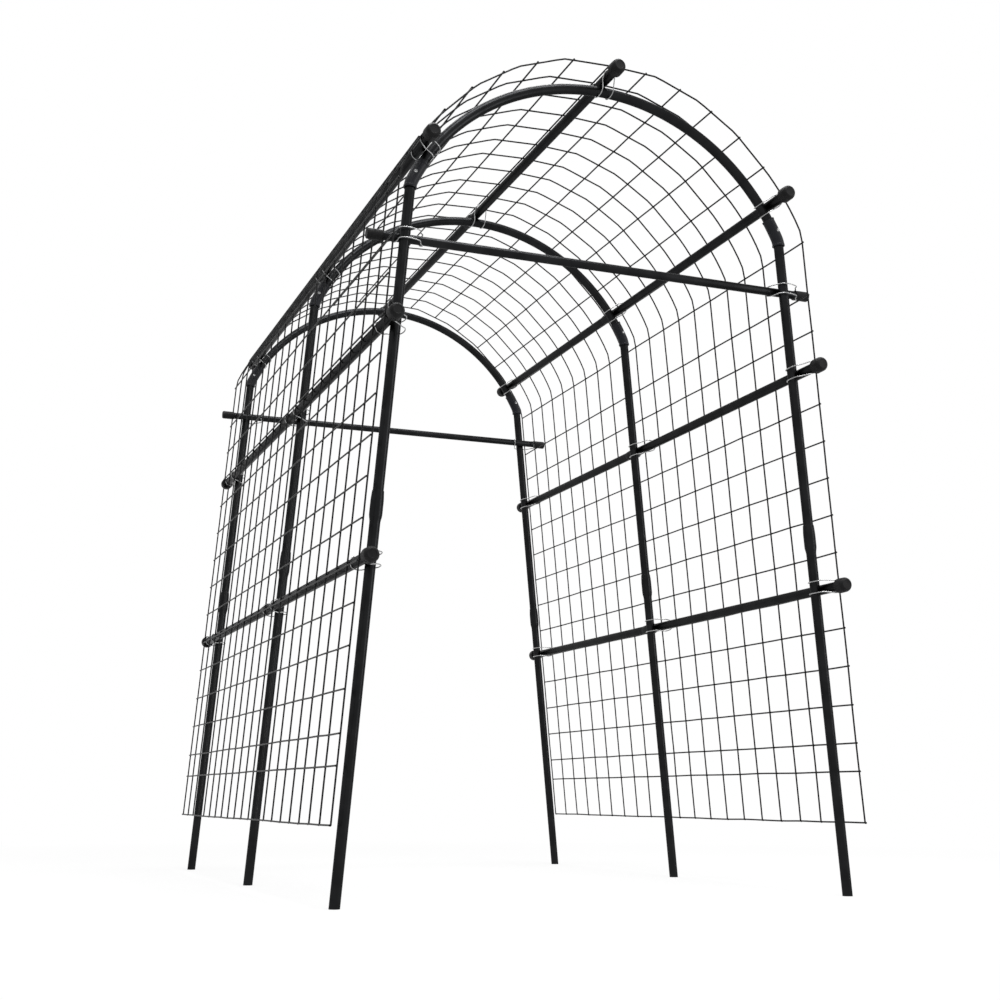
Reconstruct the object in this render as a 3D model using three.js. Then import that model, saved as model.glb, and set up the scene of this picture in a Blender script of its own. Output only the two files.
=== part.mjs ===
// A tunnel-shaped trellis arch for climbing plants: three tubular hoops, seven lengthwise tubes outside
// them, a crossbar at each entrance and a welded wire netting wrapped over the whole.
// Millimetres, +X to the right, +Y along the tunnel, +Z up. The origin is on the ground, at the middle
// of the footprint.
import * as THREE from "three";

// Hoops
const SPAN = 1040; // between the centre lines of a hoop's two legs, at the ground
const LEAN = Math.atan(0.091); // each leg leans in towards the top
const ROOF_R = 440; // centre line of the roof arch
const ROOF_CENTRE_Z = 1144;
const ELBOW_R = 45; // centre line of the tight bend between a leg and the roof
const HOOP_PITCH = 724; // from one hoop to the next

// Tubes and how they plug together
const TUBE_R = 10;
const TUBE_WALL = 0.8;
const SEAT_GAP = 0.3; // between pieces that touch
const BORE_GAP = 0.4; // round a tube inside a socket
const TAPER = 8; // length over which a tube is belled out to a socket
const MOUTH = { length: 16, r: 10.9 }; // a socket closes in again towards its mouth
const LEG_SOCKET = { low: 681, high: 737, r: 12.1 }; // heights of the joint halfway up each leg
const PURLIN_SOCKET = { low: 12, high: 68, r: 11.8 }; // distances behind the middle hoop
const PLUG_DEPTH = 45; // how far a tube goes into a socket

// Shoulder elbows: moulded sleeves with a spigot inside each tube
const ELBOW = { lead: 2, length: 60, r: 12.3, rimR: 12.9, rim: 5, groove: 5, spigot: 35, spigotR: 8.8 };
const ELBOW_STATIONS = 3; // rings that carry the bend

// Purlins, the lengthwise tubes
const PURLIN_END = 806; // from the middle hoop to the outer face of an end cap
const LOWER_Z = 606;
const MIDDLE_Z = 1051;
const SHOULDER_ANGLE = THREE.MathUtils.degToRad(34.5); // above horizontal, from the roof's centre
const PURLIN_CAP = { length: 26, r: 14.6, faceR: 10, mouthR: 15, bevel: 5.5, floor: 3 };

// Crossbars
const CROSSBAR_Z = 1227;
const CROSSBAR_R = 8.5;
const CROSSBAR_END = 478; // from the middle to the outer face of an end cap
const CROSSBAR_CAP = { length: 31, r: 10.3, faceR: 9, mouthR: 10.1, bevel: 2, floor: 3 };

// Netting: row wires run along the tunnel, hoop wires run over it
const WIRE_R = 1.5;
const NET_HALF_DEPTH = 2.2; // two crossed wires, pressed into each other at the weld
const CELL = 76.2;
const COLUMNS = 21;
const LOWEST_ROW = 140; // up the leg from the foot
const WALL_CELLS = [101, 56, ...Array(12).fill(CELL)]; // from the lowest row up
const ROOF_CELLS = [77.5, 77.5, 77.5, 77.5, 77.5, 88, 88]; // from the ridge down to the wall
const CROWN = { lift: 6, reach: 300 }; // how far the netting stands off the ridge purlin

const SIDES = 8; // of every round piece
const CORNER = 1 / Math.cos(Math.PI / SIDES); // from a flat's distance to a corner's
const ARCH_SEGMENTS = 14;

const PURLIN_OFFSET = 2 * TUBE_R + SEAT_GAP; // between the axes of a hoop tube and a purlin
const NET_OFFSET = PURLIN_OFFSET + PURLIN_SOCKET.r + SEAT_GAP + NET_HALF_DEPTH;

const SIDE_NAMES = { right: 1, left: -1 };
const HOOPS = { front: -HOOP_PITCH, middle: 0, rear: HOOP_PITCH };
const ENTRANCES = { front: -1, rear: 1 };

const COATED_STEEL = { color: 0x141516, roughness: 0.38, metalness: 0.1 };
const ELBOW_PLASTIC = { color: 0x1b1d22, roughness: 0.45, metalness: 0 };
const CAP_PLASTIC = { color: 0x2e3032, roughness: 0.6, metalness: 0 };
const NET_COATING = { color: 0x202224, roughness: 0.5, metalness: 0.1 };

const arch = new THREE.Group();

function addPiece(name, geometry, finish) {
  geometry.deleteAttribute("uv");
  geometry.computeVertexNormals();
  const piece = new THREE.Mesh(geometry, new THREE.MeshStandardMaterial(finish));
  piece.name = name;
  arch.add(piece);
  return piece;
}

// The line `offset` outside a hoop's centre line, by distance along it from the right foot, up the leg,
// round the elbow, over the roof and down to the left foot.
function hoopLine(offset) {
  const foot = new THREE.Vector2(SPAN / 2, 0);
  const up = new THREE.Vector2(-Math.sin(LEAN), Math.cos(LEAN));
  const roofCentre = new THREE.Vector2(0, ROOF_CENTRE_Z);
  const legDistance = (SPAN / 2 - ROOF_CENTRE_Z * Math.tan(LEAN)) * Math.cos(LEAN);
  const turn = Math.acos((legDistance - ELBOW_R) / (ROOF_R - ELBOW_R));
  const outward = (angle) => new THREE.Vector2(Math.cos(angle), Math.sin(angle));
  const elbowCentre = outward(LEAN + turn).multiplyScalar(ROOF_R - ELBOW_R).add(roofCentre);
  const leg = outward(LEAN).multiplyScalar(ELBOW_R).add(elbowCentre).sub(foot).dot(up);
  const elbow = (ELBOW_R + offset) * turn;
  const half = leg + elbow + (ROOF_R + offset) * (Math.PI / 2 - LEAN - turn);

  function onRightHalf(distance) {
    if (distance < leg) {
      const normal = outward(LEAN);
      const point = up.clone().multiplyScalar(distance).add(foot).addScaledVector(normal, offset);
      return { point, normal };
    }
    const onElbow = distance < leg + elbow;
    const radius = offset + (onElbow ? ELBOW_R : ROOF_R);
    const centre = onElbow ? elbowCentre : roofCentre;
    const angle = onElbow
      ? LEAN + (distance - leg) / radius
      : LEAN + turn + (distance - leg - elbow) / radius;
    const normal = outward(angle);
    return { point: normal.clone().multiplyScalar(radius).add(centre), normal };
  }

  function at(distance) {
    if (distance <= half) return onRightHalf(distance);
    const mirrored = onRightHalf(2 * half - distance);
    mirrored.point.x *= -1;
    mirrored.normal.x *= -1;
    return mirrored;
  }

  const roofStart = leg + elbow;
  const atAngle = (angle) => roofStart + (ROOF_R + offset) * (angle - LEAN - turn);
  return { at, atAngle, legEnd: leg, elbowMiddle: leg + elbow / 2, length: 2 * half };
}

const CENTRE_LINE = hoopLine(0);
const ELBOW_START = CENTRE_LINE.legEnd - ELBOW.lead;
const ELBOW_END = ELBOW_START + ELBOW.length;
const alongLeg = (height) => height / Math.cos(LEAN);

// Turns [radius, height] points round the Y axis. A profile closes on itself, or starts and ends on the
// axis. Each radius is to the flats, so that flats seat on flats.
function turned(profile) {
  const points = profile.map(([radius, height]) => new THREE.Vector2(radius * CORNER, height));
  return new THREE.LatheGeometry(points, SIDES, Math.PI / SIDES);
}

// Lays a turned piece along a hoop's centre line. The piece's X becomes the way out of the tunnel, and
// whatever would reach below the ground is cut off level with it.
function bentOntoHoop(geometry, hoopY, side) {
  const position = geometry.getAttribute("position");
  for (let i = 0; i < position.count; i += 1) {
    const out = position.getX(i);
    const across = position.getZ(i);
    const ground = -out * Math.tan(LEAN);
    const { point, normal } = CENTRE_LINE.at(Math.max(position.getY(i), ground));
    position.setXYZ(i, side * (point.x + out * normal.x), hoopY - side * across, point.y + out * normal.y);
  }
  return geometry;
}

// A plain tube, through the given stations from its first to its last.
function tubeProfile(stations, outerR) {
  const outside = stations.map((station) => [outerR, station]);
  const inside = stations.map((station) => [outerR - TUBE_WALL, station]).reverse();
  return [...outside, ...inside, outside[0]];
}

// A tube whose far end is belled out to take the next tube.
function socketProfile(start, low, high, socketR) {
  const boreR = TUBE_R + BORE_GAP;
  const floor = high - PLUG_DEPTH - SEAT_GAP;
  return [
    [TUBE_R, start],
    [TUBE_R, low],
    [socketR, low + TAPER],
    [socketR, high - MOUTH.length],
    [MOUTH.r, high],
    [boreR, high],
    [boreR, floor],
    [TUBE_R - TUBE_WALL, floor - TAPER / 2],
    [TUBE_R - TUBE_WALL, start],
    [TUBE_R, start],
  ];
}

function lowerPole() {
  const belowGround = -TUBE_R; // the level cut at the foot takes this off
  return turned(
    socketProfile(belowGround, alongLeg(LEG_SOCKET.low), alongLeg(LEG_SOCKET.high), LEG_SOCKET.r),
  );
}

function upperPole() {
  const low = alongLeg(LEG_SOCKET.high) - PLUG_DEPTH;
  const high = ELBOW_START + ELBOW.groove - SEAT_GAP;
  return turned(tubeProfile([low, high], TUBE_R));
}

// The sleeve's two ends are alike: a rim, a groove for the tube's wall and a spigot inside the tube.
function shoulderElbow() {
  const boreR = TUBE_R + BORE_GAP;
  const end = (mouth, inward) => [
    [0, mouth - inward * ELBOW.spigot],
    [ELBOW.spigotR, mouth - inward * ELBOW.spigot],
    [ELBOW.spigotR, mouth + inward * ELBOW.groove],
    [boreR, mouth + inward * ELBOW.groove],
    [boreR, mouth],
    [ELBOW.rimR, mouth],
    [ELBOW.r, mouth + inward * ELBOW.rim],
  ];
  const bend = [];
  for (let i = 1; i <= ELBOW_STATIONS; i += 1) {
    const share = i / (ELBOW_STATIONS + 1);
    bend.push([ELBOW.r, THREE.MathUtils.lerp(ELBOW_START + ELBOW.rim, ELBOW_END - ELBOW.rim, share)]);
  }
  return turned([...end(ELBOW_START, 1), ...bend, ...end(ELBOW_END, -1).reverse()]);
}

// A ring stands at each spigot's end, so that tube and spigot follow the same facets.
function roofArch() {
  const start = ELBOW_END - ELBOW.groove + SEAT_GAP;
  const spigotEnd = ELBOW_END + ELBOW.spigot;
  const stations = [start];
  for (let i = 0; i <= ARCH_SEGMENTS; i += 1) {
    stations.push(THREE.MathUtils.lerp(spigotEnd, CENTRE_LINE.length - spigotEnd, i / ARCH_SEGMENTS));
  }
  stations.push(CENTRE_LINE.length - start);
  return turned(tubeProfile(stations, TUBE_R));
}

function addHoops() {
  for (const [hoop, hoopY] of Object.entries(HOOPS)) {
    for (const [sideName, side] of Object.entries(SIDE_NAMES)) {
      const place = `${hoop}_${sideName}`;
      addPiece(`lower_pole_${place}`, bentOntoHoop(lowerPole(), hoopY, side), COATED_STEEL);
      addPiece(`upper_pole_${place}`, bentOntoHoop(upperPole(), hoopY, side), COATED_STEEL);
      addPiece(`shoulder_elbow_${place}`, bentOntoHoop(shoulderElbow(), hoopY, side), ELBOW_PLASTIC);
    }
    addPiece(`roof_arch_${hoop}`, bentOntoHoop(roofArch(), hoopY, 1), COATED_STEEL);
  }
}

// A moulded cap that slides over a tube's end. Its outer face is at height 0 and its mouth below it.
function capProfile(cap, tubeR) {
  const boreR = tubeR + BORE_GAP;
  return [
    [0, -cap.floor],
    [boreR, -cap.floor],
    [boreR, -cap.length],
    [cap.mouthR, -cap.length],
    [cap.r, -cap.bevel],
    [cap.faceR, 0],
    [0, 0],
  ];
}

// Where a purlin's axis lies, and how far its flats are turned so that one faces the hoop.
function purlinSeat(distance, side) {
  const { point, normal } = CENTRE_LINE.at(distance);
  const axis = point.clone().addScaledVector(normal, PURLIN_OFFSET);
  return { x: side * axis.x, z: axis.y, turn: side * Math.atan2(normal.x, normal.y) };
}

function addPurlin(name, seat) {
  const tubeEnd = PURLIN_END - PURLIN_CAP.floor - SEAT_GAP;
  const front = turned(socketProfile(-tubeEnd, PURLIN_SOCKET.low, PURLIN_SOCKET.high, PURLIN_SOCKET.r));
  const rear = turned(tubeProfile([PURLIN_SOCKET.high - PLUG_DEPTH, tubeEnd], TUBE_R));
  const pieces = [
    addPiece(`purlin_${name}_front`, front, COATED_STEEL),
    addPiece(`purlin_${name}_rear`, rear, COATED_STEEL),
  ];
  for (const [entrance, way] of Object.entries(ENTRANCES)) {
    const geometry = turned(capProfile(PURLIN_CAP, TUBE_R));
    const cap = addPiece(`purlin_cap_${name}_${entrance}`, geometry, CAP_PLASTIC);
    cap.position.y = way * PURLIN_END;
    cap.scale.y = way; // both caps face out of the tunnel
    pieces.push(cap);
  }
  for (const piece of pieces) {
    piece.position.x = seat.x;
    piece.position.z = seat.z;
    piece.rotation.y = seat.turn;
  }
}

function addPurlins() {
  const seats = {
    lower: alongLeg(LOWER_Z),
    middle: alongLeg(MIDDLE_Z),
    shoulder: CENTRE_LINE.atAngle(SHOULDER_ANGLE),
  };
  for (const [level, distance] of Object.entries(seats)) {
    for (const [sideName, side] of Object.entries(SIDE_NAMES)) {
      addPurlin(`${level}_${sideName}`, purlinSeat(distance, side));
    }
  }
  addPurlin("ridge", purlinSeat(CENTRE_LINE.length / 2, 1));
}

// A crossbar lies against the inner side of an entrance hoop and sticks out through the netting.
function addCrossbars() {
  const tubeEnd = CROSSBAR_END - CROSSBAR_CAP.floor - SEAT_GAP;
  for (const [entrance, way] of Object.entries(ENTRANCES)) {
    const y = way * (HOOP_PITCH - TUBE_R - CROSSBAR_R - SEAT_GAP);
    const bar = new THREE.Group();
    bar.position.set(0, y, CROSSBAR_Z);
    bar.rotation.z = -Math.PI / 2; // the piece's own Y turns to +X
    const tube = turned(tubeProfile([-tubeEnd, tubeEnd], CROSSBAR_R));
    bar.add(addPiece(`crossbar_${entrance}`, tube, COATED_STEEL));
    for (const [sideName, side] of Object.entries(SIDE_NAMES)) {
      const geometry = turned(capProfile(CROSSBAR_CAP, CROSSBAR_R));
      const cap = addPiece(`crossbar_cap_${entrance}_${sideName}`, geometry, CAP_PLASTIC);
      cap.position.y = side * CROSSBAR_END;
      cap.scale.y = side;
      bar.add(cap);
    }
    arch.add(bar);
  }
}

// How far the netting stands off the ridge purlin at a place along its line.
function crownLift(line, distance) {
  const share = Math.min(Math.abs(distance - line.length / 2) / CROWN.reach, 1);
  return CROWN.lift * Math.cos((share * Math.PI) / 2) ** 2;
}

// A welded netting as one closed surface. Each weld is a tetrahedron: an outer edge across the row wire
// and an inner edge across the hoop wire. Each of its four faces is where a three-sided wire leaves it.
// A station without a row is only a bend or the cut end of the hoop wires.
function netting(line, stations, columns) {
  const vertices = [];
  const faces = [];
  function vertex(distance, y, depth) {
    const { point, normal } = line.at(distance);
    const out = depth + crownLift(line, distance);
    vertices.push(point.x + out * normal.x, y, point.y + out * normal.y);
    return vertices.length / 3 - 1;
  }
  const quad = (a, b, c, d) => faces.push(a, b, c, a, c, d);

  function section({ distance, hasRow }, y) {
    const front = vertex(distance, y - WIRE_R, -NET_HALF_DEPTH);
    const rear = vertex(distance, y + WIRE_R, -NET_HALF_DEPTH);
    const halfRow = hasRow ? WIRE_R : 0;
    const low = vertex(distance - halfRow, y, NET_HALF_DEPTH);
    const high = hasRow ? vertex(distance + halfRow, y, NET_HALF_DEPTH) : low;
    return { low, high, front, rear };
  }
  function rowWire(a, b) {
    quad(a.low, b.low, b.high, a.high);
    quad(a.high, b.high, b.front, a.rear);
    quad(a.low, a.rear, b.front, b.low);
  }
  function hoopWire(a, b) {
    quad(a.front, b.front, b.rear, a.rear);
    quad(a.rear, b.rear, b.low, a.high);
    quad(a.front, a.high, b.low, b.front);
  }

  const sections = stations.map((station) => columns.map((y) => section(station, y)));
  sections.forEach((across, i) => {
    if (!stations[i].hasRow) return;
    across.slice(1).forEach((next, column) => rowWire(across[column], next));
    const [first, last] = [across[0], across[across.length - 1]];
    faces.push(first.low, first.high, first.front);
    faces.push(last.high, last.low, last.rear);
  });
  columns.forEach((_, column) => {
    sections.slice(1).forEach((next, i) => hoopWire(sections[i][column], next[column]));
    const [first, last] = [sections[0][column], sections[sections.length - 1][column]];
    faces.push(first.front, first.rear, first.low);
    faces.push(last.rear, last.front, last.high);
  });

  const geometry = new THREE.BufferGeometry();
  geometry.setAttribute("position", new THREE.Float32BufferAttribute(vertices, 3));
  geometry.setIndex(faces);
  return geometry;
}

// Where the rows lie along the netting's line, from the right wall's lowest to the left wall's.
function rowDistances(line) {
  const sumUp = (start, cells) => cells.reduce((sums, cell) => [...sums, sums.at(-1) + cell], [start]);
  const wall = sumUp(LOWEST_ROW, WALL_CELLS);
  const roof = sumUp(0, ROOF_CELLS).map((fromRidge) => line.length / 2 - fromRidge);
  const rightHalf = [...wall, ...roof.reverse()];
  const leftHalf = rightHalf.slice(0, -1).map((distance) => line.length - distance);
  return [...rightHalf, ...leftHalf.reverse()];
}

// The netting is one sheet over both walls and the roof, in five strips that meet at a row wire.
function addNetting() {
  const line = hoopLine(NET_OFFSET);
  const rows = rowDistances(line);
  const columns = Array.from({ length: COLUMNS }, (_, i) => (i - (COLUMNS - 1) / 2) * CELL);
  const wallRows = WALL_CELLS.length + 2; // every row below the hoops' bend, so that a wall's strip is flat
  const ridgeRows = 5;
  const roofRows = (rows.length - ridgeRows) / 2 - wallRows; // on each side of the ridge strip
  const ridge = wallRows + roofRows; // the ridge strip's first row
  const roofLeft = ridge + ridgeRows;
  const wallLeft = roofLeft + roofRows;
  const before = (index) => rows[index] - WIRE_R - SEAT_GAP; // just short of the next strip's row wire
  const after = (index) => rows[index] + WIRE_R + SEAT_GAP;
  const strips = [
    { name: "wall_right", first: 0, count: wallRows, bare: [] },
    { name: "roof_right", first: wallRows, count: roofRows, bare: [after(wallRows - 1), line.elbowMiddle] },
    { name: "roof_ridge", first: ridge, count: ridgeRows, bare: [after(ridge - 1), before(roofLeft)] },
    {
      name: "roof_left",
      first: roofLeft,
      count: roofRows,
      bare: [line.length - line.elbowMiddle, before(wallLeft)],
    },
    { name: "wall_left", first: wallLeft, count: wallRows, bare: [] },
  ];
  for (const { name, first, count, bare } of strips) {
    const stations = [
      ...rows.slice(first, first + count).map((distance) => ({ distance, hasRow: true })),
      ...bare.map((distance) => ({ distance, hasRow: false })),
    ];
    stations.sort((a, b) => a.distance - b.distance);
    addPiece(`netting_${name}`, netting(line, stations, columns), NET_COATING);
  }
}

addHoops();
addPurlins();
addCrossbars();
addNetting();

export default arch;
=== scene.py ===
"""Looks of a metal trellis arch: round coated tubes, moulded fittings, welded netting and wire clips.

Tubes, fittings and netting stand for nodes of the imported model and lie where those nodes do. Clips and
screws are small fasteners that have no node. Metres throughout, +X to the right, +Y along the tunnel, +Z up.
"""
import math

import bmesh
import bpy
from mathutils import Matrix, Vector, noise


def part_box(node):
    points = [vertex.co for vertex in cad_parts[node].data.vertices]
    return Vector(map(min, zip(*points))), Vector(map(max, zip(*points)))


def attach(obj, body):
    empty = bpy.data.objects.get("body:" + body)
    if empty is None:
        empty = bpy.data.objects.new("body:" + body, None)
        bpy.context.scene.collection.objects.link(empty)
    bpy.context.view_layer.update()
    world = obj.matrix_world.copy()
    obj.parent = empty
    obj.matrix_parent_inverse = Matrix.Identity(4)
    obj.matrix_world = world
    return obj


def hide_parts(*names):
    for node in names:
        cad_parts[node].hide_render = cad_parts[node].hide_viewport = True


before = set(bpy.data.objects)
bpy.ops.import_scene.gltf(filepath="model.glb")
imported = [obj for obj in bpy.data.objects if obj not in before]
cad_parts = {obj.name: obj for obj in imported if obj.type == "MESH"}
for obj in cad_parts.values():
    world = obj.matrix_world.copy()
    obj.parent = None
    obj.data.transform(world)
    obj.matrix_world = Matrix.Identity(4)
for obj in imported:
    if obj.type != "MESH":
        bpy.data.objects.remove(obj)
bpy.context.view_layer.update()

# ---------------------------------------------------------------------------------------------
# Sizes. They are the solids' own, except a swage's length and the netting's wire, roof rows and crown. The
# solids have no fillets, clips or screws.
# ---------------------------------------------------------------------------------------------
SPAN = 1.040  # between the centre lines of a hoop's legs, at the ground
LEAN = math.atan(0.091)
ROOF_R = 0.440
ROOF_CENTRE_Z = 1.144
ELBOW_R = 0.045

TUBE_R = 0.010
TUBE_WALL = 0.0008
SEAT_GAP = 0.0003  # between pieces that touch
BORE_GAP = 0.0004  # round a tube inside a fitting
BORE_R = TUBE_R + BORE_GAP
LIP = 0.0003  # rounding of a cut tube's edges
PLUG_DEPTH = 0.045
LEG_SOCKET = {"low": 0.681, "high": 0.737, "r": 0.0121}  # heights of the joint halfway up a leg
PURLIN_SOCKET = {"low": 0.012, "high": 0.068, "r": 0.0118}
SWAGE = {"length": 0.010, "fillet": 0.004}  # where a tube opens into its socket
MOUTH = {"length": 0.016, "r": 0.0109, "fillet": 0.005}  # the socket closes in again towards its mouth
SOCKET_FLOOR = {"slope": 0.004, "fillet": 0.001}
FOOT_TRIM = 0.03  # length of a leg over which its cut at the ground is levelled

ELBOW = {
    "lead": 0.002,
    "length": 0.060,
    "r": 0.0123,
    "rim_r": 0.0129,
    "rim": 0.005,
    "rim_slope": 0.0012,
    "groove": 0.005,
    "chamfer": 0.0006,
    "spigot": 0.035,
    "spigot_r": 0.0088,
    "step": 0.004,  # between the rings that carry the bend
}
ELBOW_FILLETS = {"mouth": 0.0003, "rim": 0.0007, "sleeve": 0.0006, "spigot": 0.001}
MOULD_LINE = {"height": 0.00018, "half_width": 0.05}  # half its width over the sleeve's radius

PURLIN_CAP = {"length": 0.026, "r": 0.0146, "face_r": 0.010, "mouth_r": 0.015, "bevel": 0.0055,
              "floor": 0.003}
CROSSBAR_R = 0.0085
CROSSBAR_CAP = {"length": 0.031, "r": 0.0103, "face_r": 0.009, "mouth_r": 0.0101, "bevel": 0.002,
                "floor": 0.003}
# The bevel's fillet is a share of its length
CAP_FILLETS = {"floor": 0.0005, "lip": 0.0003, "mouth": 0.0007, "bevel": 0.6, "face": 0.0012}
CAP_DISC = {"r": 0.78, "floor_r": 0.74, "hub_r": 0.1, "depth": 0.0004}  # radii as shares of the face's
AXIS_TO_PURLIN = 0.0203
AXIS_TO_CROSSBAR = 0.0188

WIRE_R = 0.0017
CELL = 0.0762
COLUMNS = 21
LOWEST_ROW = 0.140
NET_LINE = 0.0346  # offset of the line along which the rows are counted
WALL_CELLS = [0.101, 0.056] + [CELL] * 12
ROOF_CELLS = [0.0775] * 5 + [0.0805, 0.0955]
HOOP_WIRE_OFFSET = 0.0321  # the wires that run over the tunnel lie inside those that run along it
ROW_WIRE_OFFSET = 0.0347
CROWN = {"lift": 0.0131, "ridge_lift": 0.0061, "facet": math.radians(12), "facets": 4}  # over half the roof
WIRE_TAIL = 0.0004  # what a cut wire sticks out past its last weld
WIRE_TIP = {"length": 0.5, "r": 0.6}  # of a rounded wire end, in wire radii
UNEVEN = {"over_hoop": 0.0012, "along_tunnel": 0.0014}  # how far a weld can lie off its place
WELD = {"r": 0.0024, "sides": 6, "steps": 4}

CLIP_R = 0.0011
CLIP_SIDES = 10
ARM_SPREAD = 1.05  # from a clip's middle to each arm, in the bar's radii
# A clip's wire on the hoop's far side, as (along the bar, out from the hoop's axis to the bar)
WALL_BEND = [(0.0113, -0.0028), (0.0080, -0.0089), (-0.0043, -0.0132), (-0.0201, -0.0133),
             (-0.0321, -0.0097), (-0.0375, -0.0033)]
ROOF_BEND = [(0.0113, -0.0028), (0.0080, -0.0086), (-0.0021, -0.0121), (-0.0135, -0.0118),
             (-0.0222, -0.0087), (-0.0265, -0.0033)]
CROSSBAR_BEND = [(0.0280, -0.0060), (0.0180, -0.0115), (0.0065, -0.0145), (-0.0060, -0.0137),
                 (-0.0130, -0.0075)]
# The rest of one arm, as (along the bar from the hook's or loop's place, and in the bar's radii: along the
# hoop, out from the bar's axis)
HOOK = [(-0.0030, 0.30, 0.954), (-0.0010, 0.80, 0.62), (0.0015, 1.03, 0.05), (0.0010, 1.10, -0.55),
        (-0.0035, 1.10, -1.05)]
TO_LOOP = [(0.0030, 1.12, -0.60), (0, 1.04, 0), (-0.0008, 0.74, 0.70)]
LOOP_END = -0.0010
CLIPS = {
    "lower": {"loop": 0.0525, "hooks": 0.028, "bend": WALL_BEND, "raised": 0.0035},
    "middle": {"loop": 0.0525, "hooks": 0.028, "bend": WALL_BEND, "raised": -0.003},
    "shoulder": {"loop": 0.032, "hooks": 0.026, "bend": ROOF_BEND, "raised": 0},
    "ridge": {"loop": 0.032, "hooks": 0.026, "bend": ROOF_BEND, "raised": 0},
    "crossbar_right": {"loop": 0.024, "hooks": 0.038, "bend": CROSSBAR_BEND, "raised": 0},
    "crossbar_left": {"loop": 0.017, "hooks": 0.038, "bend": CROSSBAR_BEND, "raised": 0},
}

SCREW = {"station": 0.033, "way": (0.3, -0.95), "sink": 0.0004, "head_r": 0.0035, "sides": 24}
# A pan head's outline, as (share of its radius, height)
SCREW_OUTLINE = [(0, -0.003), (0.55, -0.003), (0.55, 0), (1, 0), (1, 0.0007), (0.86, 0.0015), (0.55, 0.0021),
                 (0.25, 0.0023), (0, 0.0023)]
RECESS = {"depth": 0.0009, "r": 0.0022, "above": 0.0018, "half_angle": math.radians(20)}

SIDES = 40  # of every round piece but wires and screws
WIRE_SIDES = 8
BEND_STEP = 0.012  # longest straight facet on a bent tube
FILLET_STEPS = 4
PATH_STEPS = 4  # from each point of a wire's path to the next
ON_AXIS = 1e-7  # a smaller radius is a single point
SHARP_ANGLE = 38
WIRE_SHARP_ANGLE = 80

HOOPS = ["front", "middle", "rear"]
SIDE_SIGNS = {"right": 1, "left": -1}
ENTRANCE_SIGNS = {"front": -1, "rear": 1}
PURLINS = [f"{level}_{side}" for level in ("lower", "middle", "shoulder") for side in SIDE_SIGNS] + ["ridge"]


# ---------------------------------------------------------------------------------------------
# Materials
# ---------------------------------------------------------------------------------------------
NOISE_ROUGHNESS = 0.55


class Finish:
    """A Principled material whose detail lies in the object's own coordinates."""

    def __init__(self, name, **surface):
        self.material = bpy.data.materials.new(name)
        self.material.use_nodes = True
        self.tree = self.material.node_tree
        self.shader = self.tree.nodes["Principled BSDF"]
        self.place = self.tree.nodes.new("ShaderNodeTexCoord").outputs["Object"]
        for socket, value in surface.items():
            self.shader.inputs[socket.replace("_", " ")].default_value = value

    def node(self, kind, inputs=None, **settings):
        made = self.tree.nodes.new(kind)
        for key, value in settings.items():
            setattr(made, key, value)
        for key, value in (inputs or {}).items():
            if isinstance(value, bpy.types.NodeSocket):
                self.tree.links.new(value, made.inputs[key])
            else:
                made.inputs[key].default_value = value
        return made

    def noise(self, scale, detail, distortion=0.0):
        inputs = {"Vector": self.place, "Scale": scale, "Detail": detail, "Roughness": NOISE_ROUGHNESS,
                  "Distortion": distortion}
        return self.node("ShaderNodeTexNoise", inputs).outputs["Fac"]

    def spread(self, value, low, high, to_low=0.0, to_high=1.0):
        inputs = {"Value": value, "From Min": low, "From Max": high, "To Min": to_low, "To Max": to_high}
        return self.node("ShaderNodeMapRange", inputs).outputs["Result"]

    def times(self, a, b):
        made = self.node("ShaderNodeMath", {0: a, 1: b}, operation="MULTIPLY")
        return made.outputs[0]

    def blend(self, share, a, b):
        made = self.node("ShaderNodeMix", {"Factor": share}, data_type="RGBA")
        for socket, value in ((made.inputs[6], a), (made.inputs[7], b)):
            if isinstance(value, bpy.types.NodeSocket):
                self.tree.links.new(value, socket)
            else:
                socket.default_value = (*value, 1)
        return made.outputs[2]

    def facing_up(self):
        normal = self.node("ShaderNodeNewGeometry").outputs["Normal"]
        return self.node("ShaderNodeSeparateXYZ", {0: normal}).outputs["Z"]

    def bump(self, height, distance, strength, under=None):
        inputs = {"Height": height, "Distance": distance, "Strength": strength}
        if under:
            inputs["Normal"] = under
        return self.node("ShaderNodeBump", inputs).outputs["Normal"]

    def connect(self, **sockets):
        for key, value in sockets.items():
            self.tree.links.new(value, self.shader.inputs[key.replace("_", " ")])
        return self.material


def coated_steel():
    """Satin black coating that mirrors little even at a flat angle, with fine orange peel and faint dust."""
    finish = Finish("coated_steel", Metallic=1.0, Specular_Tint=(0.6, 0.6, 0.6, 1))
    clouds = finish.spread(finish.noise(22, 4), 0.35, 0.65)
    colour = finish.blend(clouds, (0.0125, 0.0128, 0.0134), (0.0180, 0.0184, 0.0192))
    speckle = finish.spread(finish.noise(240, 4), 0.48, 0.80)
    dust = finish.times(finish.spread(finish.facing_up(), 0.2, 1.0), finish.times(speckle, 0.10))
    colour = finish.blend(dust, colour, (0.14, 0.14, 0.135))
    roughness = finish.spread(finish.noise(90, 4), 0.3, 0.7, 0.30, 0.38)
    peel = finish.bump(finish.noise(900, 2), 0.00004, 0.5)
    runs = finish.bump(finish.noise(60, 2), 0.00025, 0.5, under=peel)
    return finish.connect(Base_Color=colour, Roughness=roughness, Normal=runs)


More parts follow.
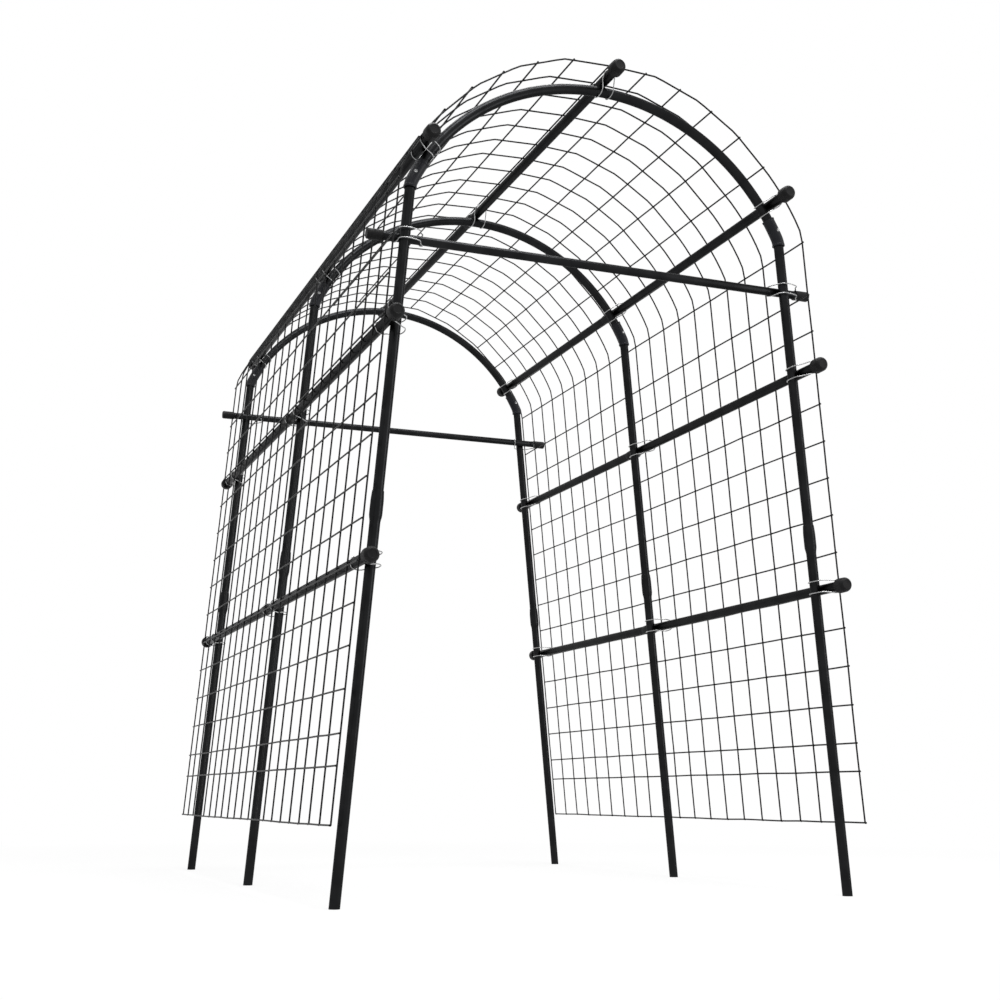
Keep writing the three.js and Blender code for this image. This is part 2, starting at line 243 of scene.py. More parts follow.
def elbow_plastic():
    """Moulded nylon, blue-black, with a fine spark-eroded grain."""
    finish = Finish("elbow_plastic", Specular_IOR_Level=0.20)
    clouds = finish.spread(finish.noise(45, 4), 0.3, 0.7)
    colour = finish.blend(clouds, (0.0030, 0.0034, 0.0056), (0.0060, 0.0066, 0.0098))
    scuffs = finish.times(finish.spread(finish.noise(260, 5, distortion=1.5), 0.62, 0.75), 0.25)
    colour = finish.blend(scuffs, colour, (0.07, 0.075, 0.085))
    roughness = finish.spread(finish.noise(150, 4), 0.3, 0.7, 0.36, 0.52)
    grain = finish.bump(finish.noise(2600, 3), 0.00005, 0.8)
    return finish.connect(Base_Color=colour, Roughness=roughness, Normal=grain)


def cap_plastic():
    """Softer moulded plastic, dark grey and duller, with a leathery grain."""
    finish = Finish("cap_plastic", Specular_IOR_Level=0.14)
    clouds = finish.spread(finish.noise(70, 4), 0.3, 0.7)
    colour = finish.blend(clouds, (0.0040, 0.0040, 0.0043), (0.0085, 0.0085, 0.0088))
    roughness = finish.spread(finish.noise(190, 4), 0.3, 0.7, 0.50, 0.68)
    grain = finish.bump(finish.noise(1700, 4), 0.00008, 0.9)
    return finish.connect(Base_Color=colour, Roughness=roughness, Normal=grain)


def netting_wire():
    """Galvanised wire dipped in black coating, which gathers in lumps."""
    finish = Finish("netting_wire", Specular_IOR_Level=0.15)
    clouds = finish.spread(finish.noise(55, 4), 0.35, 0.65)
    colour = finish.blend(clouds, (0.0025, 0.0027, 0.0030), (0.0060, 0.0062, 0.0066))
    thin = finish.spread(finish.noise(420, 5), 0.68, 0.78)
    colour = finish.blend(finish.times(thin, 0.4), colour, (0.12, 0.12, 0.12))
    roughness = finish.spread(finish.noise(260, 3), 0.3, 0.7, 0.38, 0.56)
    lumps = finish.bump(finish.noise(520, 3), 0.00025, 0.8)
    return finish.connect(Base_Color=colour, Roughness=roughness, Normal=lumps)


def spring_wire():
    """Zinc-plated spring steel with faint drawing lines and tarnished spots."""
    finish = Finish("spring_wire", Metallic=1.0)
    clouds = finish.spread(finish.noise(300, 4), 0.35, 0.65)
    colour = finish.blend(clouds, (0.25, 0.255, 0.26), (0.43, 0.43, 0.425))
    tarnish = finish.spread(finish.noise(120, 5), 0.62, 0.8, 0.0, 0.5)
    colour = finish.blend(tarnish, colour, (0.12, 0.12, 0.11))
    roughness = finish.spread(finish.noise(700, 3), 0.3, 0.7, 0.20, 0.38)
    lines = finish.bump(finish.noise(2400, 2), 0.00004, 0.6)
    return finish.connect(Base_Color=colour, Roughness=roughness, Normal=lines)


MATERIALS = {
    "coated_steel": coated_steel(),
    "elbow_plastic": elbow_plastic(),
    "cap_plastic": cap_plastic(),
    "netting_wire": netting_wire(),
    "spring_wire": spring_wire(),
}


# ---------------------------------------------------------------------------------------------
# Building blocks
# ---------------------------------------------------------------------------------------------
def add_piece(name, vertices, faces, slot, nodes=(), sharp_angle=SHARP_ANGLE):
    mesh = bpy.data.meshes.new(name)
    mesh.from_pydata([tuple(v) for v in vertices], [], faces)
    shape = bmesh.new()
    shape.from_mesh(mesh)
    bmesh.ops.recalc_face_normals(shape, faces=shape.faces)
    shape.to_mesh(mesh)
    shape.free()
    mesh.shade_smooth()
    mesh.set_sharp_from_angle(angle=math.radians(sharp_angle))
    mesh.materials.append(MATERIALS[slot])
    piece = bpy.data.objects.new(name, mesh)
    bpy.context.scene.collection.objects.link(piece)
    if nodes:
        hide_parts(*nodes)
    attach(piece, "root")


def bridge(faces, ring, following):
    """Quads between two rings, or a fan where one of them is a single point."""
    count = max(len(ring), len(following))
    for i in range(count):
        j = (i + 1) % count
        if len(ring) == 1:
            faces.append((ring[0], following[i], following[j]))
        elif len(following) == 1:
            faces.append((ring[i], following[0], ring[j]))
        else:
            faces.append((ring[i], following[i], following[j], ring[j]))


def rounded(corners, step=None):
    """A profile of (radius, station) from corners of (radius, station, fillet), with its long stretches cut
    into steps where the piece is bent."""
    points = []
    count = len(corners)
    for i, (radius, station, fillet) in enumerate(corners):
        here = Vector((radius, station))
        if fillet == 0:
            points.append(here)
            continue
        before = Vector(corners[i - 1][:2])
        after = Vector(corners[(i + 1) % count][:2])
        start = here + (before - here).normalized() * fillet
        end = here + (after - here).normalized() * fillet
        for k in range(FILLET_STEPS + 1):
            t = k / FILLET_STEPS
            points.append(start * (1 - t) ** 2 + here * 2 * t * (1 - t) + end * t ** 2)
    if step is None:
        return points
    fine = []
    for a, b in zip(points, points[1:] + points[:1]):
        pieces = max(1, math.ceil((b - a).length / step))
        fine += [a.lerp(b, k / pieces) for k in range(pieces)]
    return fine


def turned(name, profile, place, slot, node, is_closed=True, relief=None):
    """A profile of (radius, station) turned round a line. place(station, out) gives the point of the line and
    the two directions across it; relief(angle, station) raises the surface."""
    vertices = []
    faces = []
    rings = []
    for radius, station in profile:
        angles = [0] if radius < ON_AXIS else [2 * math.pi * k / SIDES for k in range(SIDES)]
        ring = []
        for angle in angles:
            r = radius + (relief(angle, station) if relief and radius > 0 else 0)
            centre, out, across = place(station, r * math.cos(angle))
            vertices.append(centre + out * (r * math.cos(angle)) + across * (r * math.sin(angle)))
            ring.append(len(vertices) - 1)
        rings.append(ring)
    following = rings[1:] + (rings[:1] if is_closed else [])
    for ring, next_ring in zip(rings, following):
        bridge(faces, ring, next_ring)
    add_piece(name, vertices, faces, slot, [node])


def smooth_path(points):
    """A Catmull-Rom curve through the points."""
    points = [Vector(p) for p in points]
    padded = [points[0] * 2 - points[1]] + points + [points[-1] * 2 - points[-2]]
    path = []
    for a, b, c, d in zip(padded, padded[1:], padded[2:], padded[3:]):
        for k in range(PATH_STEPS):
            t = k / PATH_STEPS
            path.append(0.5 * (2 * b + (c - a) * t + (2 * a - 5 * b + 4 * c - d) * t ** 2
                               + (3 * b - a - 3 * c + d) * t ** 3))
    path.append(points[-1])
    return path


def sweep(vertices, faces, path, radius, sides):
    """Adds a round wire along a path, with its ends rounded off."""
    tangents = []
    for i in range(len(path)):
        tangents.append((path[min(i + 1, len(path) - 1)] - path[max(i - 1, 0)]).normalized())
    across = tangents[0].orthogonal().normalized()
    tip_r = radius * WIRE_TIP["r"]
    stations = [(path[0] - tangents[0] * radius * WIRE_TIP["length"], tangents[0], tip_r)]
    stations += [(point, tangent, radius) for point, tangent in zip(path, tangents)]
    stations.append((path[-1] + tangents[-1] * radius * WIRE_TIP["length"], tangents[-1], tip_r))
    rings = []
    for point, tangent, r in stations:
        across = (across - tangent * across.dot(tangent)).normalized()
        other = tangent.cross(across)
        ring = []
        for k in range(sides):
            angle = 2 * math.pi * k / sides
            vertices.append(point + across * (r * math.cos(angle)) + other * (r * math.sin(angle)))
            ring.append(len(vertices) - 1)
        rings.append(ring)
    for ring, following in zip(rings, rings[1:]):
        bridge(faces, ring, following)
    faces.append(tuple(reversed(rings[0])))
    faces.append(tuple(rings[-1]))


# ---------------------------------------------------------------------------------------------
# Hoops
# ---------------------------------------------------------------------------------------------
class HoopLine:
    """The line a given offset outside a hoop's centre line, by distance from the right foot."""

    def __init__(self, offset):
        self.offset = offset
        leg_distance = (SPAN / 2 - ROOF_CENTRE_Z * math.tan(LEAN)) * math.cos(LEAN)
        self.turn = math.acos((leg_distance - ELBOW_R) / (ROOF_R - ELBOW_R))
        self.roof_centre = Vector((0, ROOF_CENTRE_Z))
        self.elbow_centre = self.roof_centre + self.outward(LEAN + self.turn) * (ROOF_R - ELBOW_R)
        self.foot = Vector((SPAN / 2, 0))
        self.up = Vector((-math.sin(LEAN), math.cos(LEAN)))
        self.leg = (self.elbow_centre + self.outward(LEAN) * ELBOW_R - self.foot).dot(self.up)
        self.elbow = (ELBOW_R + offset) * self.turn
        self.half = self.leg + self.elbow + (ROOF_R + offset) * (math.pi / 2 - LEAN - self.turn)
        self.length = 2 * self.half

    @staticmethod
    def outward(angle):
        return Vector((math.cos(angle), math.sin(angle)))

    def at(self, distance):
        if distance > self.half:
            point, normal = self.at(self.length - distance)
            return Vector((-point.x, point.y)), Vector((-normal.x, normal.y))
        if distance < self.leg:
            normal = self.outward(LEAN)
            return self.foot + self.up * distance + normal * self.offset, normal
        on_elbow = distance < self.leg + self.elbow
        radius = self.offset + (ELBOW_R if on_elbow else ROOF_R)
        if on_elbow:
            angle = LEAN + (distance - self.leg) / radius
        else:
            angle = LEAN + self.turn + (distance - self.leg - self.elbow) / radius
        normal = self.outward(angle)
        return (self.elbow_centre if on_elbow else self.roof_centre) + normal * radius, normal


CENTRE_LINE = HoopLine(0)
ELBOW_START = CENTRE_LINE.leg - ELBOW["lead"]
ELBOW_END = ELBOW_START + ELBOW["length"]


def middle_of(node):
    low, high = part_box(node)
    return (low + high) / 2


def along_leg(height):
    return height / math.cos(LEAN)


def on_hoop(hoop, side):
    """Places a turned piece along a hoop's centre line."""
    y = middle_of(f"roof_arch_{hoop}").y

    def place(station, out):
        level = -out * math.tan(LEAN)  # where the ground cuts the leg
        station += level * max(0, 1 - station / FOOT_TRIM)
        point, normal = CENTRE_LINE.at(station)
        return (Vector((side * point.x, y, point.y)), Vector((side * normal.x, 0, normal.y)),
                Vector((0, -side, 0)))

    return place


def tube_profile(start, end, radius, step=None):
    bore = radius - TUBE_WALL
    return rounded([(radius, start, LIP), (radius, end, LIP), (bore, end, LIP), (bore, start, LIP)], step)


def socket_profile(start, low, high, socket_r):
    """A tube that opens into a socket at its far end, and closes in a little at the mouth."""
    floor = high - PLUG_DEPTH - SEAT_GAP
    return rounded([
        (TUBE_R, start, LIP),
        (TUBE_R, low, SWAGE["fillet"]),
        (socket_r, low + SWAGE["length"], SWAGE["fillet"]),
        (socket_r, high - MOUTH["length"], MOUTH["fillet"]),
        (MOUTH["r"], high, LIP),
        (BORE_R, high, 0),
        (BORE_R, floor, SOCKET_FLOOR["fillet"]),
        (TUBE_R - TUBE_WALL, floor - SOCKET_FLOOR["slope"], SOCKET_FLOOR["fillet"]),
        (TUBE_R - TUBE_WALL, start, LIP),
    ])


def elbow_end(mouth, inward):
    """The corners of a sleeve's end, from the groove's floor out over the mouth and the rim."""
    fillets = ELBOW_FILLETS
    chamfer = ELBOW["chamfer"]
    return [
        (BORE_R, mouth + inward * ELBOW["groove"], 0),
        (BORE_R, mouth + inward * chamfer, fillets["mouth"]),
        (BORE_R + chamfer, mouth, fillets["mouth"]),
        (ELBOW["rim_r"], mouth, fillets["rim"]),
        (ELBOW["rim_r"], mouth + inward * (ELBOW["rim"] - ELBOW["rim_slope"]), fillets["sleeve"]),
        (ELBOW["r"], mouth + inward * ELBOW["rim"], fillets["sleeve"]),
    ]


def mould_line(angle, station):
    """The raised line where the mould's halves meet, along the sleeve between its rims."""
    from_rim = min(station - ELBOW_START, ELBOW_END - station)
    if from_rim < ELBOW["rim"]:
        return 0
    return MOULD_LINE["height"] if abs(math.sin(angle)) < MOULD_LINE["half_width"] else 0


def add_elbow(hoop, side_name):
    node = f"shoulder_elbow_{hoop}_{side_name}"
    low = ELBOW_START - ELBOW["spigot"]
    high = ELBOW_END + ELBOW["spigot"]
    radius, fillet = ELBOW["spigot_r"], ELBOW_FILLETS["spigot"]
    corners = [
        (0, low, 0),
        (radius, low, fillet),
        (radius, ELBOW_START + ELBOW["groove"], 0),
        *elbow_end(ELBOW_START, 1),
        *reversed(elbow_end(ELBOW_END, -1)),
        (radius, ELBOW_END - ELBOW["groove"], 0),
        (radius, high, fillet),
        (0, high, 0),
    ]
    skin = [point for point in rounded(corners, ELBOW["step"]) if point.x > ON_AXIS]
    profile = [Vector((0, low)), *skin, Vector((0, high))]
    place = on_hoop(hoop, SIDE_SIGNS[side_name])
    turned(f"moulded_{node}", profile, place, "elbow_plastic", node, False, mould_line)


def add_hoop(hoop):
    for side_name, side in SIDE_SIGNS.items():
        place = on_hoop(hoop, side)
        low, high = along_leg(LEG_SOCKET["low"]), along_leg(LEG_SOCKET["high"])
        node = f"lower_pole_{hoop}_{side_name}"
        turned(f"round_{node}", socket_profile(0, low, high, LEG_SOCKET["r"]), place, "coated_steel", node)
        node = f"upper_pole_{hoop}_{side_name}"
        top = ELBOW_START + ELBOW["groove"] - SEAT_GAP
        profile = tube_profile(high - PLUG_DEPTH, top, TUBE_R)
        turned(f"round_{node}", profile, place, "coated_steel", node)
        add_elbow(hoop, side_name)
    node = f"roof_arch_{hoop}"
    start = ELBOW_END - ELBOW["groove"] + SEAT_GAP
    profile = tube_profile(start, CENTRE_LINE.length - start, TUBE_R, BEND_STEP)
    turned(f"round_{node}", profile, on_hoop(hoop, 1), "coated_steel", node)


# ---------------------------------------------------------------------------------------------
# Purlins and crossbars
# ---------------------------------------------------------------------------------------------
def cap_profile(cap, tube_r):
    """A moulded cap with its face at station 0 and its mouth below. The face has a shallow sunk disc."""
    bore = tube_r + BORE_GAP
    face_r = cap["face_r"]
    fillets = CAP_FILLETS
    return rounded([
        (0, -cap["floor"], 0),
        (bore, -cap["floor"], fillets["floor"]),
        (bore, -cap["length"], fillets["lip"]),
        (cap["mouth_r"], -cap["length"], fillets["mouth"]),
        (cap["r"], -cap["bevel"], cap["bevel"] * fillets["bevel"]),
        (face_r, 0, fillets["face"]),
        (face_r * CAP_DISC["r"], 0, fillets["lip"]),
        (face_r * CAP_DISC["floor_r"], -CAP_DISC["depth"], fillets["lip"]),
        (face_r * CAP_DISC["hub_r"], -CAP_DISC["depth"], 0),
        (0, -CAP_DISC["depth"], 0),
    ])


def along_purlin(name):
    """Places a turned piece on a purlin's axis, by its distance behind the middle hoop."""
    axis = middle_of(f"purlin_{name}_rear")
    y = middle_of("roof_arch_middle").y
    return lambda station, out: (Vector((axis.x, y + station, axis.z)), Vector((1, 0, 0)), Vector((0, 0, 1)))


def add_purlin(name):
    place = along_purlin(name)
    y = middle_of("roof_arch_middle").y
    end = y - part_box(f"purlin_cap_{name}_front")[0].y
    tube_end = end - PURLIN_CAP["floor"] - SEAT_GAP
    socket = PURLIN_SOCKET
    node = f"purlin_{name}_front"
    profile = socket_profile(-tube_end, socket["low"], socket["high"], socket["r"])
    turned(f"round_{node}", profile, place, "coated_steel", node)
    node = f"purlin_{name}_rear"
    profile = tube_profile(socket["high"] - PLUG_DEPTH, tube_end, TUBE_R)
    turned(f"round_{node}", profile, place, "coated_steel", node)
    for entrance, way in ENTRANCE_SIGNS.items():
        node = f"purlin_cap_{name}_{entrance}"
        profile = [Vector((r, way * (end + station))) for r, station in cap_profile(PURLIN_CAP, TUBE_R)]
        turned(f"moulded_{node}", profile, place, "cap_plastic", node, False)


def add_crossbar(entrance):
    axis = middle_of(f"crossbar_{entrance}")

    def place(station, out):
        return Vector((station, axis.y, axis.z)), Vector((0, 1, 0)), Vector((0, 0, 1))

    node = f"crossbar_{entrance}"
    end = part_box(node)[1].x
    cap = cap_profile(CROSSBAR_CAP, CROSSBAR_R)
    turned(f"round_{node}", tube_profile(-end, end, CROSSBAR_R), place, "coated_steel", node)
    for side_name, side in SIDE_SIGNS.items():
        node = f"crossbar_cap_{entrance}_{side_name}"
        reach = max(abs(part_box(node)[0].x), abs(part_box(node)[1].x))
        profile = [Vector((r, side * (reach + station))) for r, station in cap]
        turned(f"moulded_{node}", profile, place, "cap_plastic", node, False)


# ---------------------------------------------------------------------------------------------
# Netting
# ---------------------------------------------------------------------------------------------
def wobble(i, j, channel):
    """A fixed, smooth unevenness from -1 to 1."""
    return noise.noise(Vector((i * 0.83 + 11.3 * channel, j * 0.71 - 5.9 * channel, 3.7 * channel)))


def row_distances(line):
    wall = [LOWEST_ROW]
    for cell in WALL_CELLS:
        wall.append(wall[-1] + cell)
    roof = [line.length / 2]
    for cell in ROOF_CELLS:
        roof.append(roof[-1] - cell)
    right_half = wall + roof[::-1]
    return right_half + [line.length - distance for distance in reversed(right_half[:-1])]


def crown_lift(angle):
    """How far the sheet stands off the hoops' curve at an angle from the ridge. It is creased into flat
    facets and dips over the ridge purlin."""
    facet = CROWN["facet"]
    count = math.floor(angle / facet)
    if count >= CROWN["facets"]:
        return 0

    def crease(index):
        lift = CROWN["lift"] * math.cos(index / CROWN["facets"] * math.pi / 2)
        return ROOF_R + NET_LINE + (lift if index else CROWN["ridge_lift"])

    near, far = crease(count), crease(count + 1)
    past = angle - count * facet
    radius = near * far * math.sin(facet) / (near * math.sin(past) + far * math.sin(facet - past))
    return radius - ROOF_R - NET_LINE


def add_netting():
    line = HoopLine(NET_LINE)
    rows = row_distances(line)
    columns = [(j - (COLUMNS - 1) / 2) * CELL for j in range(COLUMNS)]

    def crossing(i, j):
        along = rows[i] + UNEVEN["over_hoop"] * wobble(i, j, 1)
        y = columns[j] + UNEVEN["along_tunnel"] * wobble(i, j, 2)
        return Vector((along, y, 0))

    def to_space(spot, offset):
        along, y, lift = spot
        point, normal = line.at(along)
        out = offset - NET_LINE + lift + crown_lift(abs(along - line.length / 2) / (ROOF_R + NET_LINE))
        return Vector((point.x + out * normal.x, y, point.y + out * normal.y))

    vertices = []
    faces = []
    tail = Vector((WIRE_TAIL, 0, 0))
    for j in range(COLUMNS):
        spots = [crossing(i, j) for i in range(len(rows))]
        path = [spots[0] - tail, *smooth_path(spots), spots[-1] + tail]
        sweep(vertices, faces, [to_space(spot, HOOP_WIRE_OFFSET) for spot in path], WIRE_R, WIRE_SIDES)
    tail = Vector((0, WIRE_TAIL, 0))
    for i in range(len(rows)):
        spots = [crossing(i, j) for j in range(COLUMNS)]
        path = [spots[0] - tail, *smooth_path(spots), spots[-1] + tail]
        sweep(vertices, faces, [to_space(spot, ROW_WIRE_OFFSET) for spot in path], WIRE_R, WIRE_SIDES)
    for i in range(len(rows)):
        for j in range(COLUMNS):
            centre = to_space(crossing(i, j), (HOOP_WIRE_OFFSET + ROW_WIRE_OFFSET) / 2)
            add_weld(vertices, faces, centre)
    strips = ["wall_right", "roof_right", "roof_ridge", "roof_left", "wall_left"]
    nodes = [f"netting_{strip}" for strip in strips]
    add_piece("netting_sheet", vertices, faces, "netting_wire", nodes, WIRE_SHARP_ANGLE)


def add_weld(vertices, faces, centre):
    """The coating gathers in a bead where two wires are welded."""
    radius, steps = WELD["r"], WELD["steps"]
    rings = []
    for k in range(steps + 1):
        latitude = math.pi * (k / steps - 0.5)
        count = 1 if k in (0, steps) else WELD["sides"]
        ring = []
        for n in range(count):
            angle = 2 * math.pi * n / WELD["sides"]
            flat = radius * math.cos(latitude) if count > 1 else 0
            ring.append(len(vertices))
            vertices.append(centre + Vector((flat * math.cos(angle), flat * math.sin(angle),
                                             radius * math.sin(latitude))))
        rings.append(ring)
    for ring, following in zip(rings, rings[1:]):
        bridge(faces, ring, following)


# ---------------------------------------------------------------------------------------------
# Clips and screws
# ---------------------------------------------------------------------------------------------
def clip_path(reach, bar_r, clip, side=1):
    """A clip's wire, as (along the bar, along the hoop, out from the hoop's axis to the bar). From a hook on
    the bar it runs past the hoop's far face to a loop round the bar on the other side, and back to a second
    hook."""
    bar = bar_r + CLIP_R
    loop_at = -clip["loop"]

    def stretch(start, points, way):
        return [(start + along, way * across * bar, reach + out * bar) for along, across, out in points]

    def half(way):
        level = way * ARM_SPREAD * bar + side * clip["raised"]
        hook = stretch(clip["hooks"], HOOK, way)
        past_hoop = [(along, level, out) for along, out in clip["bend"]]
        to_loop = stretch(loop_at, TO_LOOP, way)
        arm = [*hook, midway(hook[-1], past_hoop[0]), *past_hoop]
        return [*arm, midway(past_hoop[-1], to_loop[0]), *to_loop]

    return half(1) + [(loop_at + LOOP_END, 0, reach + bar)] + half(-1)[::-1]


def midway(start, end):
    return tuple((a + b) / 2 for a, b in zip(start, end))


def add_clip(name, origin, axes, path):
    turn = Matrix(axes).transposed()
    vertices = []
    faces = []
    sweep(vertices, faces, smooth_path([origin + turn @ Vector(p) for p in path]), CLIP_R, CLIP_SIDES)
    add_piece(name, vertices, faces, "spring_wire", (), WIRE_SHARP_ANGLE)


def add_purlin_clips():
    along = Vector((0, 1, 0))
    for name in PURLINS:
        axis = middle_of(f"purlin_{name}_rear")
        for hoop in HOOPS:
            y = middle_of(f"roof_arch_{hoop}").y
            outward = hoop_normal(axis)
            origin = Vector((axis.x, y, axis.z)) - outward * AXIS_TO_PURLIN
            bar_r = PURLIN_SOCKET["r"] if hoop == "middle" else TUBE_R
            side = 1 if axis.x >= 0 else -1
            path = clip_path(AXIS_TO_PURLIN, bar_r, CLIPS[name.split("_")[0]], side)
            add_clip(f"clip_{name}_{hoop}", origin, (along, outward.cross(along), outward), path)


def hoop_normal(axis):
    """The way out of the tunnel at a purlin."""
    side = 1 if axis.x >= 0 else -1
    shoulder = CENTRE_LINE.roof_centre
    angle = math.atan2(axis.z - shoulder.y, abs(axis.x))
    if angle > LEAN + CENTRE_LINE.turn:
        return Vector((axis.x, 0, axis.z - shoulder.y)).normalized()
    return Vector((side * math.cos(LEAN), 0, math.sin(LEAN)))


def add_crossbar_clips():
    for entrance, way in ENTRANCE_SIGNS.items():
        bar = middle_of(f"crossbar_{entrance}")
        hoop_y = middle_of(f"roof_arch_{entrance}").y
        for side_name, side in SIDE_SIGNS.items():
            point, _ = CENTRE_LINE.at(along_leg(bar.z))
            along = Vector((1, 0, 0))
            inward = Vector((0, -way, 0))
            origin = Vector((side * point.x, hoop_y, bar.z))
            path = clip_path(AXIS_TO_CROSSBAR, CROSSBAR_R, CLIPS[f"crossbar_{side_name}"])
            axes = (along, Vector((0, 0, 1)), inward)
            add_clip(f"clip_crossbar_{entrance}_{side_name}", origin, axes, path)


def add_screw(hoop, side_name):
    """A pan-head screw through the elbow's sleeve, on the side that faces the front entrance."""
    side = SIDE_SIGNS[side_name]
    centre = on_hoop(hoop, side)(ELBOW_START + SCREW["station"], 0)[0]
    sideways, towards = SCREW["way"]
    way = Vector((side * sideways, towards, 0)).normalized()
    lateral = way.cross(Vector((0, 0, 1))).normalized()
    other = lateral.cross(way)
    seat = centre + way * (ELBOW["r"] - SCREW["sink"])
    vertices = []
    faces = []
    rings = []
    for share, height in SCREW_OUTLINE:
        radius = share * SCREW["head_r"]
        ring = []
        for n in range(1 if radius == 0 else SCREW["sides"]):
            angle = 2 * math.pi * n / SCREW["sides"]
            depth = RECESS["depth"] if height > RECESS["above"] and is_in_cross(radius, angle) else 0
            ring.append(len(vertices))
            vertices.append(seat + way * (height - depth) + lateral * (radius * math.cos(angle))
                            + other * (radius * math.sin(angle)))
        rings.append(ring)
    for ring, following in zip(rings, rings[1:]):
        bridge(faces, ring, following)
    add_piece(f"screw_{hoop}_{side_name}", vertices, faces, "spring_wire")


def is_in_cross(radius, angle):
    """Whether a point of the head lies in its cross recess."""
    if radius > RECESS["r"]:
        return False
    nearest = abs((angle + math.pi / 4) % (math.pi / 2) - math.pi / 4)
    return nearest < RECESS["half_angle"]


# ---------------------------------------------------------------------------------------------
# Camera, floor and light
# ---------------------------------------------------------------------------------------------
CAMERA = {"place": (-1.1888, -3.2187, 0.1925), "yaw": 0.3716, "pitch": 0.1444, "roll": 0.0028,
          "lens": 52.77, "shift_y": 0.0832, "sensor": 36}
FLOOR_HALF = 12.0
FLOOR_COLOUR = (0.95, 0.95, 0.95, 1)
# The backdrop's white by distance from the middle of the floor, complete where no shadow falls
GLOW = {"From Min": 1.4, "From Max": 3.0, "To Min": 0.86, "To Max": 1.0}
AMBIENT = 0.32
SOFTBOXES = [  # name, place, target, size and power
    ("front_overhead", (0, -1.9, 4.2), (0, -0.4, 1.2), (2.0, 1.2), 125),
    ("rear_overhead", (0, 0.6, 4.2), (0, 0, 0), (2.2, 0.7), 80),
    ("front_right", (2.6, -2.7, 1.4), (0, 0, 0.9), (0.7, 2.6), 38),
]


def add_camera():
    yaw, pitch, roll = CAMERA["yaw"], CAMERA["pitch"], CAMERA["roll"]
    forward = Vector((math.sin(yaw) * math.cos(pitch), math.cos(yaw) * math.cos(pitch), math.sin(pitch)))
    level = Vector((math.cos(yaw), -math.sin(yaw), 0))
    upward = level.cross(forward)
    right = level * math.cos(roll) + upward * math.sin(roll)
    upward = upward * math.cos(roll) - level * math.sin(roll)
    data = bpy.data.cameras.new("camera")
    data.sensor_width = CAMERA["sensor"]
    data.lens = CAMERA["lens"]
    data.shift_y = CAMERA["shift_y"]
    camera = bpy.data.objects.new("camera", data)
    turn = Matrix((right, upward, -forward)).transposed().to_4x4()
    camera.matrix_world = Matrix.Translation(CAMERA["place"]) @ turn
    bpy.context.scene.collection.objects.link(camera)
    bpy.context.scene.camera = camera


def seen_as_background(tree):
    """1 for rays from the camera and for those that mirror or pass on what it sees."""
    path = tree.nodes.new("ShaderNodeLightPath")
    share = path.outputs["Is Camera Ray"]
    for ray in ("Is Glossy Ray", "Is Transmission Ray"):
        either = tree.nodes.new("ShaderNodeMath")
        either.operation = "MAXIMUM"
        tree.links.new(share, either.inputs[0])
        tree.links.new(path.outputs[ray], either.inputs[1])
        share = either.outputs[0]
    return share


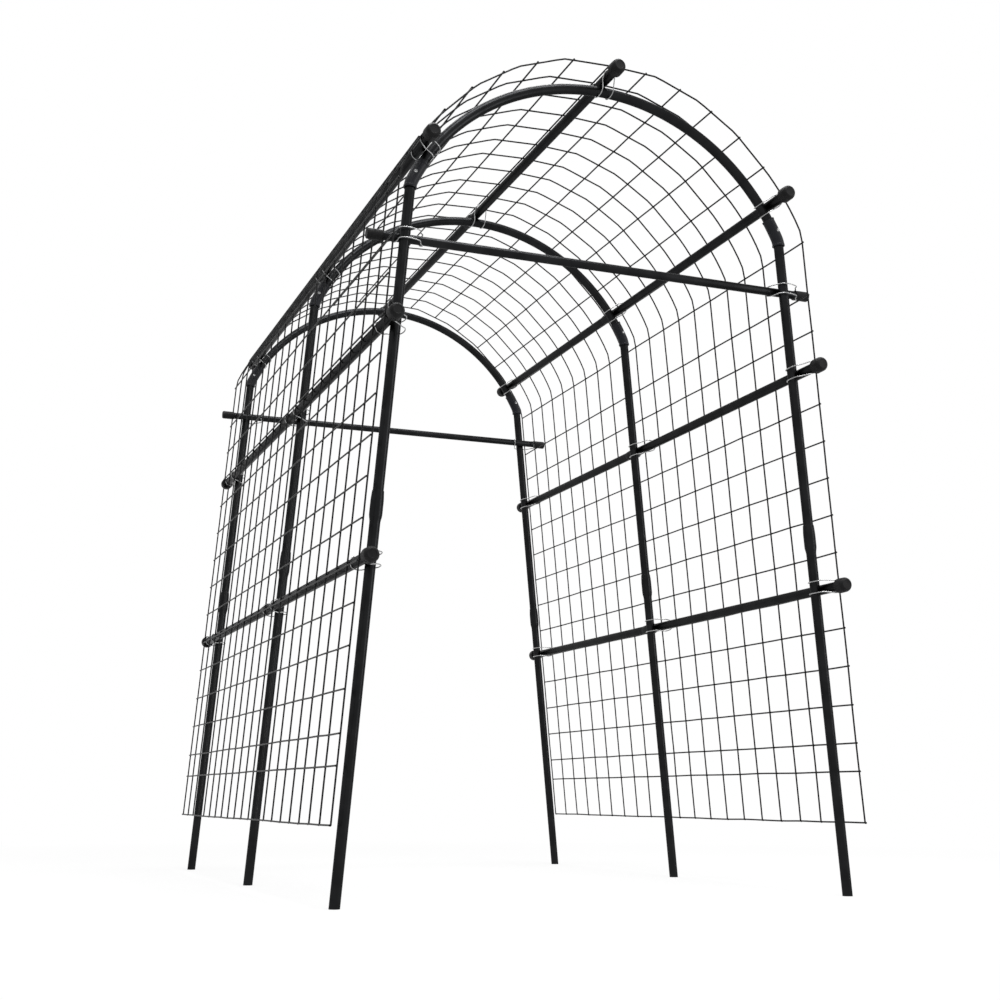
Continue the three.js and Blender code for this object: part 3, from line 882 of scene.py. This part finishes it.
def add_floor():
    material = bpy.data.materials.new("pale_floor")
    material.use_nodes = True
    tree = material.node_tree
    tree.nodes.clear()
    matt = tree.nodes.new("ShaderNodeBsdfDiffuse")
    matt.inputs["Color"].default_value = FLOOR_COLOUR
    white = tree.nodes.new("ShaderNodeEmission")
    mix = tree.nodes.new("ShaderNodeMixShader")
    far = tree.nodes.new("ShaderNodeVectorMath")
    far.operation = "LENGTH"
    tree.links.new(tree.nodes.new("ShaderNodeTexCoord").outputs["Object"], far.inputs[0])
    glow = tree.nodes.new("ShaderNodeMapRange")
    for key, value in GLOW.items():
        glow.inputs[key].default_value = value
    tree.links.new(far.outputs["Value"], glow.inputs["Value"])
    share = tree.nodes.new("ShaderNodeMath")
    share.operation = "MULTIPLY"
    tree.links.new(glow.outputs["Result"], share.inputs[1])
    tree.links.new(seen_as_background(tree), share.inputs[0])
    tree.links.new(share.outputs[0], mix.inputs[0])
    tree.links.new(matt.outputs[0], mix.inputs[1])
    tree.links.new(white.outputs[0], mix.inputs[2])
    output = tree.nodes.new("ShaderNodeOutputMaterial")
    tree.links.new(mix.outputs[0], output.inputs["Surface"])
    mesh = bpy.data.meshes.new("floor")
    corners = [(-FLOOR_HALF, -FLOOR_HALF, 0), (FLOOR_HALF, -FLOOR_HALF, 0), (FLOOR_HALF, FLOOR_HALF, 0),
               (-FLOOR_HALF, FLOOR_HALF, 0)]
    mesh.from_pydata(corners, [], [(0, 1, 2, 3)])
    mesh.materials.append(material)
    floor = bpy.data.objects.new("floor", mesh)
    bpy.context.scene.collection.objects.link(floor)


def add_world(level):
    world = bpy.data.worlds.new("studio")
    bpy.context.scene.world = world
    world.use_nodes = True
    tree = world.node_tree
    tree.nodes.clear()
    ambient = tree.nodes.new("ShaderNodeBackground")
    ambient.inputs["Color"].default_value = (level, level, level, 1)
    white = tree.nodes.new("ShaderNodeBackground")
    white.inputs["Color"].default_value = (1, 1, 1, 1)
    mix = tree.nodes.new("ShaderNodeMixShader")
    tree.links.new(seen_as_background(tree), mix.inputs[0])
    tree.links.new(ambient.outputs[0], mix.inputs[1])
    tree.links.new(white.outputs[0], mix.inputs[2])
    output = tree.nodes.new("ShaderNodeOutputWorld")
    tree.links.new(mix.outputs[0], output.inputs["Surface"])


def add_softbox(name, place, target, size, power):
    data = bpy.data.lights.new(name, "AREA")
    data.shape = "RECTANGLE"
    data.size, data.size_y = size
    data.energy = power
    lamp = bpy.data.objects.new(name, data)
    way = Vector(target) - Vector(place)
    lamp.matrix_world = Matrix.Translation(place) @ way.to_track_quat("-Z", "Y").to_matrix().to_4x4()
    bpy.context.scene.collection.objects.link(lamp)


def add_stage():
    add_floor()
    add_world(AMBIENT)
    for softbox in SOFTBOXES:
        add_softbox(*softbox)
    bpy.context.scene.view_settings.view_transform = "Standard"


add_camera()
for hoop_name in HOOPS:
    add_hoop(hoop_name)
for purlin in PURLINS:
    add_purlin(purlin)
for entrance_name in ENTRANCE_SIGNS:
    add_crossbar(entrance_name)
add_netting()
add_purlin_clips()
add_crossbar_clips()
for hoop_name in HOOPS:
    for side_label in SIDE_SIGNS:
        add_screw(hoop_name, side_label)
add_stage()
